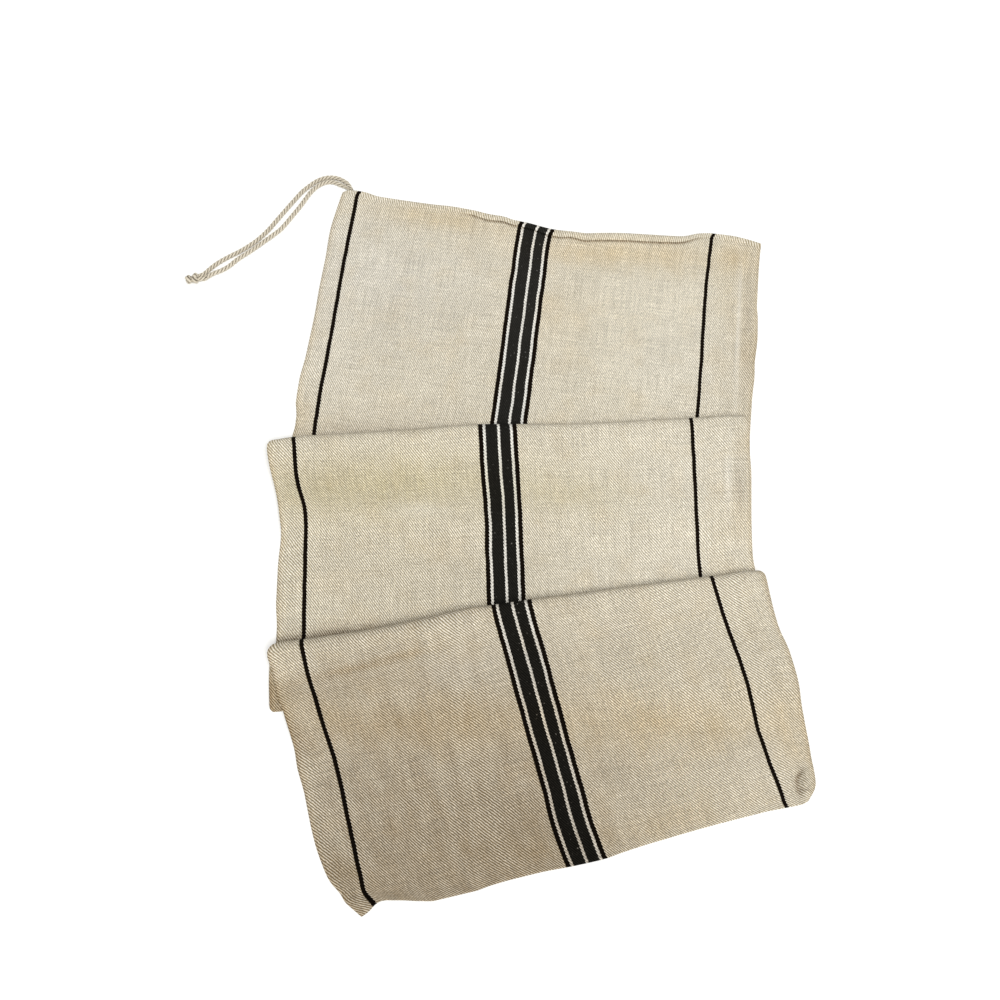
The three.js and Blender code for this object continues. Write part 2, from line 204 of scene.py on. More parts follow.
# Soft ridges and troughs of the front layer: tier, from where to where in plan, width and rise
Crease = namedtuple("Crease", "tier start end width rise")
CREASES = (
    Crease(1, (60, 352), (190, 348), 16, 2.4),
    Crease(1, (254, 325), (235, 127), 4, 1.6),
    Crease(2, (-90, -15), (40, -5), 20, 2.2),
    Crease(2, (224, 90), (217, -18), 4, 1.2),
    Crease(3, (-60, -330), (-35, -395), 14, 2.6),
    Crease(3, (55, -255), (150, -222), 18, 2.4),
    Crease(3, (280, -282), (281, -301), 5.5, 5),
    Crease(3, (276.5, -279), (272.3, -286.6), 2.4, -1.8),
    Crease(3, (271.5, -289.5), (271.5, -294.5), 2.4, -1.8),
    Crease(3, (271.9, -297), (275, -306), 2.4, -1.8),
    Crease(3, (-177, -408), (-162, -411), 7, 2.4),
    Crease(3, (-172, -400), (-150, -405), 2.8, -1.3),
    Crease(3, (-228, -187), (-63, -140), 7, -0.7),
    Crease(3, (-222, -168), (-63, -122), 11, 2.4),
)

# Warp stripes: the group's bands from left to right with their widths, how far its middle lies from the left
# seam, the thin stripe on each side of it, and how ragged the ridges make the edges
STRIPE_GROUP = (
    ("brown", 4.9), ("white", 2.9), ("black", 13.2), ("white", 2.8), ("black", 11.3), ("white", 2.9),
    ("brown", 5),
)
GROUP_FROM_SEAM = 267.8
LEFT_STRIPE, LEFT_WIDTH = GROUP_FROM_SEAM - 222.9, 4.6
RIGHT_STRIPE, RIGHT_WIDTH = GROUP_FROM_SEAM + 216.1, 4.2
RAGGED = 0.65

# Middle of the stripe group: length from the mouth and its share of the width there
GROUP_LINE = (
    (0, 0.4698), (109, 0.4717), (246, 0.4717), (275, 0.47), (390, 0.473), (509, 0.4755), (623, 0.4755),
    (690, 0.4774), (810, 0.481), (914, 0.485), (962, 0.4918), (1031, 0.493), (1073, 0.4965), (1112, 0.501),
    (1155, 0.4995), (1181, 0.4962),
)
# Cloth that shows between each side edge and its thin stripe: length from the mouth and width there
LEFT_MARGIN = (
    (0, 18), (35, 21), (95, 23.2), (167, 24.8), (254, 24.3), (390, 25.5), (444, 27.5), (497, 29.2),
    (550, 27.5), (604, 28.9), (653, 27.5), (725, 29.8), (806, 31.5), (851, 33.5), (905, 35.4), (951, 36.3),
    (1005, 38.2), (1053, 37.6), (1091, 38.4), (1120, 37.4), (1136, 34.3), (1149, 30), (1158, 25), (1166, 20),
    (1172, 17.5), (1181, 15.3),
)
RIGHT_MARGIN = (
    (0, 58.5), (35, 59.5), (95, 61), (254, 61.2), (390, 61.5), (444, 63.5), (497, 65.3), (550, 62.4),
    (604, 59.7), (653, 57.5), (725, 56.7), (806, 57.5), (905, 59.6), (940, 56.4), (966, 54.2), (1001, 51.6),
    (1043, 50.6), (1067, 48.4), (1097, 44.9), (1130, 39.3), (1146, 36.6), (1164, 31), (1181, 22),
)

# Soft marks of each kind: tier (0 between the tiers), centre in plan, half sizes, turn in degrees, strength.
# The dull dark marks are mostly painted shade, with a little soil; the pale marks are painted highlights, and
# the bleached marks are partly painted light.
MARKS = {
    "ochre": (
        (1, (-103, 380), (80, 16), -9, 0.7), (1, (115, 332), (125, 18), -4, 0.75),
        (1, (250, 326), (20, 25), 0, 0.5), (1, (35, 250), (45, 45), 0, 0.25),
        (1, (250, 220), (18, 120), 0, 0.25), (1, (-255, 119), (12, 26), 0, 0.35),
        (2, (229, -4), (18, 30), 0, 0.3), (0, (-266, -205), (20, 25), 0, 0.9),
        (3, (0, -280), (400, 160), 0, 0.2), (3, (-256, -210), (16, 36), 0, 0.4),
        (3, (-168, -190), (70, 12), 16, 0.2), (3, (-160, -168), (75, 4.5), 14.5, 0.5),
        (3, (-120, -230), (150, 26), 0, 0.55), (3, (140, -230), (130, 26), 0, 0.5),
        (3, (262, -230), (18, 40), 0, 0.35), (3, (134, -331), (70, 18), 12, 0.3),
        (3, (6, -357), (30, 16), 10, 0.35),
    ),
    "straw": (
        (2, (-165, 32), (160, 34), 3, 0.7), (2, (-130, -60), (200, 120), 0, 0.08),
        (2, (40, 20), (70, 22), 0, 0.3),
    ),
    # Mostly painted shade: shadows beside the crests, in the creases, the ear's trough, the beak's crease and
    # the hidden fold's peek, and broad darkening of the lower tiers towards the bottom left; a little soil
    "grime_and_shade": (
        (1, (256, 228), (7, 95), -5.5, 0.35), (0, (-266, -205), (20, 25), 0, 0.8),
        (0, (-266, -217), (25, 4), 0, 0.5), (1, (-190, 104), (95, 10), 3, 0.3),
        (1, (-150, 126), (90, 14), 3, 0.11), (2, (-240, 44), (75, 24), 3, 0.15),
        (2, (-130, -60), (200, 120), 0, 0.17), (2, (-222, -142), (80, 12), 9, 0.85),
        (2, (233, 35), (6, 50), -3, 0.3), (3, (0, -260), (400, 200), 0, 0.26),
        (3, (-150, -270), (170, 170), 0, 0.45), (3, (-50, -425), (170, 90), 0, 0.95),
        (3, (262, -92), (9, 16), 20, 0.4), (3, (-208, -181), (70, 13), 16, 0.12),
        (3, (-160, -168), (75, 3.5), 14.5, 0.2), (3, (-4, -315), (28, 75), 16, 0.28),
        (3, (92, -278), (70, 50), 0, 0.12), (3, (-188, -390), (16, 24), 35, 0.36),
        (3, (-240, -240), (10, 26), 30, 0.28), (3, (273.8, -284), (1.8, 5.5), -28, 1.0),
        (3, (271.5, -292), (1.8, 5.5), 0, 1.0), (3, (273.4, -300), (1.8, 5.5), 18, 1.0),
        (3, (280, -299), (5, 1.5), -20, 0.5), (3, (279, -288), (1.4, 5), -12, 0.45),
        (3, (-163, -402), (13, 2.2), -9, 0.7), (3, (-168, -410), (14, 6), -10, 0.3),
    ),
    # Painted highlights on the ridges of two creases and on the bump over the first hidden fold
    "pale": (
        (1, (245, 231), (2.5, 95), -5.5, 0.3), (2, (221, 38), (2.5, 45), -3.7, 0.2),
        (2, (-118, 3), (30, 8), 0, 0.15),
    ),
    "worn": (
        (1, (-100, 250), (400, 400), 0, 0.18), (1, (130, 270), (130, 90), 0, 0.36),
        (2, (0, 0), (400, 400), 0, 0.05),
    ),
    "greyed": (
        (1, (0, 200), (400, 400), 0, 0.05), (1, (-170, 290), (120, 110), 0, 0.22),
    ),
    # Partly bleached cloth, partly painted light: the lit slope below the second crest, the lighter right of
    # the lowest tier and broad lighter places on the upper tiers
    "bleach_and_light": (
        (1, (-215, 327), (75, 75), 0, 0.14), (1, (-110, 300), (90, 45), 0, 0.08),
        (1, (-220, 200), (45, 60), 0, 0.07), (1, (164, 184), (65, 70), 0, 0.12),
        (2, (120, 0), (140, 110), 0, 0.06), (2, (185, 50), (75, 45), 0, 0.07),
        (2, (131, -72), (110, 35), 9, 0.06), (3, (-85, -178), (60, 16), 16, 0.15),
        (3, (245, -258), (24, 45), 0, 0.14),
    ),
}
# Strength of the ochre tint and of the dark tint along the side edges, and their reach from them
EDGE_TINTS = {"ochre": (0.4, 5.0), "grime_and_shade": (0.3, 2.5)}

# Tie cord: its lift off the floor, and the routes of its two legs from the mouth's corner to the knot
CORD_LIFT = 0.4
ROUTE_STEPS = 8
LEG_PITCH = 1.1
LEG_ROUTES = {
    "tie_leg_outer": (
        (-208.5, 419.3), (-214.4, 427.4), (-219.5, 431.8), (-225.5, 435.4), (-231.6, 437.4), (-238, 437.8),
        (-244, 436.9), (-250, 434.6), (-256, 430.9), (-262, 425.8), (-270, 418), (-281, 403), (-291, 388.6),
        (-300.7, 374.4), (-306.5, 365.8), (-312, 358.9), (-320, 350), (-329, 342.3), (-340, 334.3),
        (-352, 327.1), (-362.5, 320.2), (-371, 313), (-379.3, 304.2),
    ),
    "tie_leg_inner": (
        (-215.1, 419.2), (-219.4, 423.9), (-225.4, 427.7), (-231.5, 430.7), (-237.5, 431.6), (-243.6, 430.5),
        (-249.5, 427.4), (-255.2, 422.7), (-261, 415.4), (-266.5, 406), (-272, 396.5), (-277.5, 388),
        (-283, 379.6), (-288.6, 371.2), (-294.2, 363.9), (-300, 358.4), (-305.6, 353.4), (-311.2, 348.6),
        (-317, 343.6), (-328.2, 334.1), (-339.4, 325.5), (-345, 320.5), (-350.5, 314.9), (-356, 310.7),
        (-361.8, 307.4), (-367.5, 305), (-373, 301.8), (-378, 297.9),
    ),
}
STRAND_SIDES = 10
# Strands swell a little, so they press against each other
STRAND_SWELL = 1.04
# A line that starts steeper than this takes its first side from X, because UP lies too near it
STEEP = 0.9

# Where the legs are sewn in they are drawn towards one place and squeezed thin, over a short reach
SEWN_AT = (-210.5, 419.3)
SEWN_REACH = 15.0
SEWN_DRAW = 0.5
SEWN_SIZE = 0.62

# Knot, along the line from its collar to its cut ends: places of the two cords in the collar and in the
# cut ends (ahead, aside and up) with the turn of their strands, and the thick turns of cord wrapped round
KNOT_START = (-379.9, 299.6)
KNOT_END = (-402.4, 294.2)
KNOT_PITCH = 0.8
COLLAR = (
    ((-3, -5.2, 2.9), (-1.6, -4.3, 2.9), (3, -2.6, 3.3), (9, -1.6, 4.6)),
    ((-3, 1.4, 2.9), (-1.4, 2.1, 2.9), (3, 2.2, 3.2), (9, 1.6, 4.4)),
)
COLLAR_TURN = 1.0
CUT_ENDS = (
    ((12, -0.6, 4.5), (16, -0.8, 4.4), (20.8, -0.9, 4.3)),
    ((12, 2.2, 4.4), (16, 2.2, 4.2), (20.4, 2.1, 4)),
)
CUT_TURN = 2.0
Wrap = namedtuple("Wrap", "start end aside radius size turn")
WRAPS = (
    Wrap(8.8, 11.0, 1.5, 2.8, 1.3, 0.8),
    Wrap(16.2, 18.6, 0.9, 2.0, 1.3, 2.4),
)
WRAP_TURNS = 1.15
WRAP_POINTS = 60


def linear(hex_colour):
    """An sRGB hex value as linear red, green and blue"""
    channels = (int(hex_colour[i : i + 2], 16) / 255 for i in (0, 2, 4))
    return tuple(c / 12.92 if c <= 0.04045 else ((c + 0.055) / 1.055) ** 2.4 for c in channels)


def colour_setting(name, description, hex_colour):
    """A colour of a settings group, with its default as an sRGB hex value"""
    default = linear(hex_colour)
    return FloatVectorProperty(name=name, description=description, subtype="COLOR", default=default)


class FeedSackCloth(PropertyGroup):
    """Sizes and colours of the sack's cloth"""

    width: FloatProperty(name="Width", description="Flat width of the sack", default=0.53, unit="LENGTH")
    wall: FloatProperty(name="Cloth", description="Thickness of one layer", default=WALL * MM, unit="LENGTH")
    cell: FloatProperty(name="Cell", description="Size of the mesh cells", default=0.0064, unit="LENGTH")
    twill_pitch: FloatProperty(
        name="Twill pitch", description="Spacing of the diagonal ridges", default=0.00224, unit="LENGTH"
    )
    twill_lean: FloatProperty(
        name="Twill lean",
        description="Angle of the ridges to the warp",
        default=math.radians(36),
        subtype="ANGLE",
    )
    ground: colour_setting("Ground", "Unbleached linen on the ridges", "f4eee0")
    gaps: colour_setting("Gaps", "Linen in the grooves between ridges", "978a68")
    black: colour_setting("Black yarn", "Dyed stripe yarn", "0f0e0a")
    brown: colour_setting("Brown yarn", "Dark yarn of the thin stripes", "120c06")
    white: colour_setting("White yarn", "Bleached stripe yarn", "f4f1e8")
    ochre: colour_setting("Ochre", "Tint of the old stains", "f7ecd9")
    straw: colour_setting("Straw", "Tint of the yellowed places", "f4f0d8")
    # Tint of the dull dark marks, which are mostly painted shade and partly soil
    grime_and_shade: colour_setting("Grime and shade", "Tint of the dull places", "b4a99c")
    greyed: colour_setting("Greyed", "Tint of the washed and worn places", "e0e3f2")


class FeedSackTie(PropertyGroup):
    """Sizes and colours of the tie cord"""

    diameter: FloatProperty(
        name="Diameter", description="Cord over its strands", default=0.0053, unit="LENGTH"
    )
    lay: FloatProperty(name="Lay", description="One full turn of the strands", default=0.015, unit="LENGTH")
    strands: IntProperty(name="Strands", description="Strands laid into the cord", default=3, min=2, max=6)
    cotton: colour_setting("Cotton", "Undyed cord cotton", "eae0cb")
    # Painted shade in the grooves between the strands
    shade: colour_setting("Shade", "Cotton between its yarns", "40321f")


class FeedSackStage(PropertyGroup):
    """Camera, floor and light"""

    elevation: FloatProperty(
        name="Elevation",
        description="Camera's height over the horizon",
        default=math.radians(69),
        subtype="ANGLE",
    )
    distance: FloatProperty(name="Distance", description="Camera to its target", default=1.47, unit="LENGTH")
    lens: FloatProperty(name="Lens", description="Focal length in millimetres", default=47.88)
    key: FloatProperty(name="Key light", description="Strength of the broad light overhead", default=2.6)
    fill: FloatProperty(name="Fill light", description="Strength of the light from all round", default=0.4)
    floor: colour_setting("Floor", "Pale floor", "f4f4f2")


# Scale of a wave texture whose bands are one unit apart, and the settings of a mix of colours
WAVE_PERIOD = 2 * math.pi / 20
COLOUR_MIX = {"output": "Result", "data_type": "RGBA"}


def set_inputs(tree, node, inputs):
    """A node's inputs, by name or in order, set to values or linked to other nodes' outputs"""
    for name, value in inputs.items() if isinstance(inputs, dict) else enumerate(inputs):
        if isinstance(value, bpy.types.NodeSocket):
            tree.links.new(value, node.inputs[name])
        else:
            node.inputs[name].default_value = value


def add_node(tree, kind, inputs=(), output=0, **settings):
    """One output of a new shader node with its settings and inputs"""
    node = tree.nodes.new("ShaderNode" + kind)
    for name, value in settings.items():
        setattr(node, name, value)
    set_inputs(tree, node, inputs)
    return node.outputs[output]


def new_material(name):
    """A node material, add_node for its tree and set_inputs for its shader"""
    material = bpy.data.materials.new(name)
    material.use_nodes = True
    tree = material.node_tree
    return material, partial(add_node, tree), partial(set_inputs, tree, tree.nodes["Principled BSDF"])


def warp_stripes():
    """Yarn, middle and width of each stripe of the warp"""
    stripes = [("brown", LEFT_STRIPE, LEFT_WIDTH), ("brown", RIGHT_STRIPE, RIGHT_WIDTH)]
    place = GROUP_FROM_SEAM - sum(band for _, band in STRIPE_GROUP) / 2
    for yarn, band in STRIPE_GROUP:
        stripes.append((yarn, place + band / 2, band))
        place += band
    return stripes


def linen_twill(settings):
    """Unbleached linen woven in a coarse twill: matt, with pale diagonal ridges over darker grooves, slubby
    yarns, black and white warp stripes, old stains, painted shade in folds and creases, and painted
    highlights"""
    material, node, set_shader = new_material("linen_twill")
    cloth = node("UVMap", uv_map="cloth")
    ground = (*settings.ground, 1)
    gaps = (*settings.gaps, 1)
    white = (*settings.white, 1)
    black = (*settings.black, 1)
    brown = (*settings.brown, 1)

    # Yarns wander a little from straight
    drift = node("TexNoise", {"Vector": cloth, "Scale": 1 / (30 * MM), "Detail": 2.0}, "Color")
    centred = node("VectorMath", (drift, (0.5, 0.5, 0.5)), operation="SUBTRACT")
    yarns = node("VectorMath", (centred, (2 * MM, 2 * MM, 0), cloth), operation="MULTIPLY_ADD")

    # Diagonal ridges of the twill, flatter where it is worn
    turned = node("Mapping", {"Vector": yarns, "Rotation": (0, 0, settings.twill_lean)})
    scale = WAVE_PERIOD / settings.twill_pitch
    bands = {"Vector": turned, "Scale": scale, "Distortion": 1.8, "Detail": 2.0, "Detail Scale": 2.0}
    ridges = node("TexWave", bands, "Fac")
    worn = node("Attribute", output="Fac", attribute_name="worn")
    face = node("Mix", {"Factor": worn, "A": ridges, "B": 0.55})
    colour = node("Mix", {"Factor": face, "A": gaps, "B": ground}, **COLOUR_MIX)
    # Lighter places: partly bleaching, partly painted light
    bleach_and_light = node("Attribute", output="Fac", attribute_name="bleach_and_light")
    colour = node("Mix", {"Factor": bleach_and_light, "A": colour, "B": white}, **COLOUR_MIX)

    # Thick and thin places of the warp, of the weft and along each ridge, wider mottling and dark specks:
    # sizes across and along in millimetres, range of the noise and the tones that it becomes
    tone = 1.0
    for source, across, along, *tones in (
        (cloth, 1.4, 60.0, 0.2, 0.8, 0.84, 1.16),
        (cloth, 50.0, 1.3, 0.2, 0.8, 0.84, 1.16),
        (turned, 1.15, 2.4, 0.2, 0.8, 0.6, 1.4),
        (turned, 1.2, 4.0, 0.6, 0.8, 1.0, 0.55),
        (cloth, 9.0, 14.0, 0.2, 0.8, 0.94, 1.06),
        (cloth, 45.0, 60.0, 0.2, 0.8, 0.95, 1.05),
        (cloth, 1.3, 5.0, 0.63, 0.8, 1.0, 0.5),
    ):
        size = (1 / (across * MM), 1 / (along * MM), 1)
        stretched = node("Mapping", {"Vector": source, "Scale": size})
        yarn = node("TexNoise", {"Vector": stretched, "Scale": 1.0, "Detail": 2.0})
        factor = node("MapRange", (yarn, *tones))
        tone = node("Math", (tone, factor), operation="MULTIPLY")

    # Warp stripes with edges frayed by the ridges, and lint on the black. The back of the tube repeats the
    # front from seam to seam.
    panel = node("Math", (node("SeparateXYZ", (yarns,)), settings.width), operation="PINGPONG")
    frayed = node("Math", (ridges, RAGGED * MM, panel), operation="MULTIPLY_ADD")
    twist = node("MapRange", (ridges, 0.0, 1.0, 0.6, 1.0))
    lint = node("TexNoise", {"Vector": cloth, "Scale": 1 / (3.2 * MM), "Detail": 3.0})
    flecks = node("MapRange", (lint, 0.67, 0.8, 0.0, 0.4))
    shine = node("Math", (ridges, 0.014, flecks), operation="MULTIPLY_ADD")
    fading = node("Math", (worn, 0.03, shine), operation="MULTIPLY_ADD")
    yarn_colours = {
        "white": node("Mix", {"Factor": 1.0, "A": white, "B": twist}, blend_type="MULTIPLY", **COLOUR_MIX),
        "black": node("Mix", {"Factor": fading, "A": black, "B": white}, **COLOUR_MIX),
        "brown": brown,
    }
    for yarn, middle, band in warp_stripes():
        middle += RAGGED / 2
        stripe = node("Math", (frayed, middle * MM, band / 2 * MM), operation="COMPARE")
        colour = node("Mix", {"Factor": stripe, "A": colour, "B": yarn_colours[yarn]}, **COLOUR_MIX)
    colour = node("Mix", {"Factor": 1.0, "A": colour, "B": tone}, blend_type="MULTIPLY", **COLOUR_MIX)

    # Stains, painted shade and painted highlights, a little streaky along the warp. The dull dark marks,
    # mostly painted shade, lie thicker in the grooves, and faint ochre patches are all over.
    streaks = node("Mapping", {"Vector": cloth, "Scale": (1 / (14 * MM), 1 / (40 * MM), 1)})
    blotches = node("TexNoise", {"Vector": streaks, "Scale": 1.0, "Detail": 4.0, "Roughness": 0.6})
    uneven = node("MapRange", (blotches, 0.3, 0.7, 0.8, 1.2))
    in_grooves = node("MapRange", (face, 0.0, 1.0, 1.35, 0.65))
    groove_weighted = node("Math", (uneven, in_grooves), operation="MULTIPLY")
    clouds = node("TexNoise", {"Vector": cloth, "Scale": 1 / (35 * MM), "Detail": 2.0})
    patches = node("MapRange", (clouds, 0.5, 0.72, 0.0, 0.25))
    for kind, tint, blend, spread, everywhere in (
        ("greyed", settings.greyed, "MULTIPLY", uneven, 0.0),
        ("ochre", settings.ochre, "MULTIPLY", uneven, patches),
        ("straw", settings.straw, "MULTIPLY", uneven, 0.0),
        ("grime_and_shade", settings.grime_and_shade, "MULTIPLY", groove_weighted, 0.0),
        # Painted highlights, mixed towards white
        ("pale", settings.white, "MIX", uneven, 0.0),
    ):
        mark = node("Attribute", output="Fac", attribute_name=kind)
        strength = node("Math", (mark, spread, everywhere), operation="MULTIPLY_ADD", use_clamp=True)
        stain = {"Factor": strength, "A": colour, "B": (*tint, 1)}
        colour = node("Mix", stain, blend_type=blend, **COLOUR_MIX)
    relief = node("Bump", {"Height": face, "Distance": 0.3 * MM, "Strength": 1.0})
    set_shader({"Base Color": colour, "Normal": relief, "Roughness": 0.95, "Specular IOR Level": 0.06})
    return material


def laid_cotton(settings):
    """Undyed cotton cord: matt and a little fuzzy, its fine yarns showing as slanting lines on each strand,
    with painted shade in the grooves between the strands"""
    material, node, set_shader = new_material("laid_cotton")
    strand = node("UVMap", uv_map="strand")
    lines = node("Mapping", {"Vector": strand, "Rotation": (0, 0, math.radians(-35))})
    bands = {"Vector": lines, "Scale": WAVE_PERIOD / (1.1 * MM), "Distortion": 1.5, "Detail": 2.0}
    yarns = node("TexWave", bands, "Fac")
    mottle = node("TexNoise", {"Vector": strand, "Scale": 1 / (6 * MM), "Detail": 3.0})
    tone = node("Math", (yarns, mottle), operation="MULTIPLY")
    fibre = node("MapRange", (tone, 0.0, 0.5, 0.6, 1.0))
    # Painted shade: darker the nearer the surface lies to the cord's axis
    outside = node("Attribute", output="Fac", attribute_name="outside")
    unshaded = node("MapRange", (outside, 0.55, 0.96, 0.0, 1.0))
    light = node("Math", (fibre, unshaded), operation="MULTIPLY")
    shades = {"Factor": light, "A": (*settings.shade, 1), "B": (*settings.cotton, 1)}
    colour = node("Mix", shades, **COLOUR_MIX)
    relief = node("Bump", {"Height": yarns, "Distance": 0.12 * MM, "Strength": 1.0})
    set_shader({"Base Color": colour, "Normal": relief, "Roughness": 0.9, "Specular IOR Level": 0.2})
    return material


def pale_board(settings):
    """Plain painted board: matt, faintly lit through so that it stays white"""
    material, _, set_shader = new_material("pale_board")
    set_shader({"Base Color": (*settings.floor, 1), "Roughness": 0.8})
    set_shader({"Emission Color": (1, 1, 1, 1), "Emission Strength": 0.1})
    return material


def unit(vector):
    """The same direction with a length of 1"""
    return vector / np.linalg.norm(vector)


def units(vectors):
    """The same for each row of vectors"""
    return vectors / np.linalg.norm(vectors, axis=-1)[..., None]


def smooth_step(share):
    """A share from 0 to 1 with a soft start and end"""
    return share * share * (3 - 2 * share)


def bell(distance):
    """A soft hump, 1 at no distance and fading away past 1"""
    return np.exp(-(distance**2))


def rounded(share):
    """Height of a quarter circle at a share of its radius, from 0 at its edge to 1"""
    return np.sqrt(1 - np.clip(1 - share, 0, 1) ** 2)


def smooth_line(keys, steps):
    """A smooth line through the keys, with a number of points on each stretch after its first key"""
    keys = np.asarray(keys, float)
    ends = np.vstack([2 * keys[0] - keys[1], keys, 2 * keys[-1] - keys[-2]])
    line = [keys[:1]]
    for p0, p1, p2, p3 in zip(ends, ends[1:], ends[2:], ends[3:]):
        t1 = np.linalg.norm(p1 - p0) ** 0.5
        t2 = t1 + np.linalg.norm(p2 - p1) ** 0.5
        t3 = t2 + np.linalg.norm(p3 - p2) ** 0.5
        t = (t1 + (t2 - t1) * np.arange(1, steps + 1) / steps)[:, None]
        a1 = (p0 * (t1 - t) + p1 * t) / t1
        a2 = (p1 * (t2 - t) + p2 * (t - t1)) / (t2 - t1)
        a3 = (p2 * (t3 - t) + p3 * (t - t2)) / (t3 - t2)
        b1 = (a1 * (t2 - t) + a2 * t) / t2
        b2 = (a2 * (t3 - t) + a3 * (t - t1)) / (t3 - t1)
        line.append((b1 * (t2 - t) + b2 * (t - t1)) / (t2 - t1))
    return np.vstack(line)


def lengths_along(line):
    """Distance of each point of a line from its first one"""
    return np.concatenate([[0], np.cumsum(np.linalg.norm(np.diff(line, axis=0), axis=-1))])


def resample(line, pitch):
    """The same line with its points evenly along it"""
    lengths = lengths_along(line)
    wanted = np.linspace(0, lengths[-1], max(2, round(lengths[-1] / pitch) + 1))
    return np.stack([np.interp(wanted, lengths, column) for column in line.T], axis=-1)


def table_value(table, place):
    """Value between the rows of a short table of places and values, on a smooth line that overshoots none"""
    places, values = np.array(table, float).T
    steps = np.diff(places)
    slopes = np.diff(values) / steps
    same_way = slopes[:-1] * slopes[1:] > 0
    total = np.where(same_way, slopes[:-1] + slopes[1:], 1)
    inner = np.where(same_way, 2 * slopes[:-1] * slopes[1:] / total, 0)
    slopes = np.concatenate([slopes[:1], inner, slopes[-1:]])
    after = np.clip(np.searchsorted(places, place), 1, len(places) - 1)
    before = after - 1
    share = np.clip((place - places[before]) / steps[before], 0, 1)
    rise = values[before] + (values[after] - values[before]) * smooth_step(share)
    leave = slopes[before] * share * (1 - share) ** 2
    arrive = slopes[after] * share**2 * (share - 1)
    return rise + steps[before] * (leave + arrive)


def side_edge(side):
    """One side edge from the mouth to the bottom: points, places in the table and shares of each turn"""
    parts = []
    run = []
    first = 0

    def close_run():
        line = smooth_line(run, RUN_STEPS)
        parts.append((line, first + np.arange(len(line)) / RUN_STEPS, np.zeros(len(line))))

    for number, row in enumerate(SECTIONS):
        place = np.array([*(row.left, row.right)[side], row.height], float)
        if row.radius is None:
            run.append(place)
            continue
        nearby = (SECTIONS[number - 1], SECTIONS[number + 1])
        ways = [unit(place - np.array([*(near.left, near.right)[side], row.height])) for near in nearby]
        outward = unit(ways[0] + ways[1])
        angle = np.radians(np.linspace(-90, 90, TURN_STEPS + 1))[:, None]
        turn = place + row.radius[side] * ((np.cos(angle) - 1) * outward + (1 + np.sin(angle)) * UP)
        run.append(turn[0])
        close_run()
        shares = np.arange(1, TURN_STEPS) / TURN_STEPS
        parts.append((turn[1:-1], np.full(TURN_STEPS - 1, float(number)), shares))
        run = [turn[-1]]
        first = number
    close_run()
    return (np.concatenate(columns) for columns in zip(*parts))


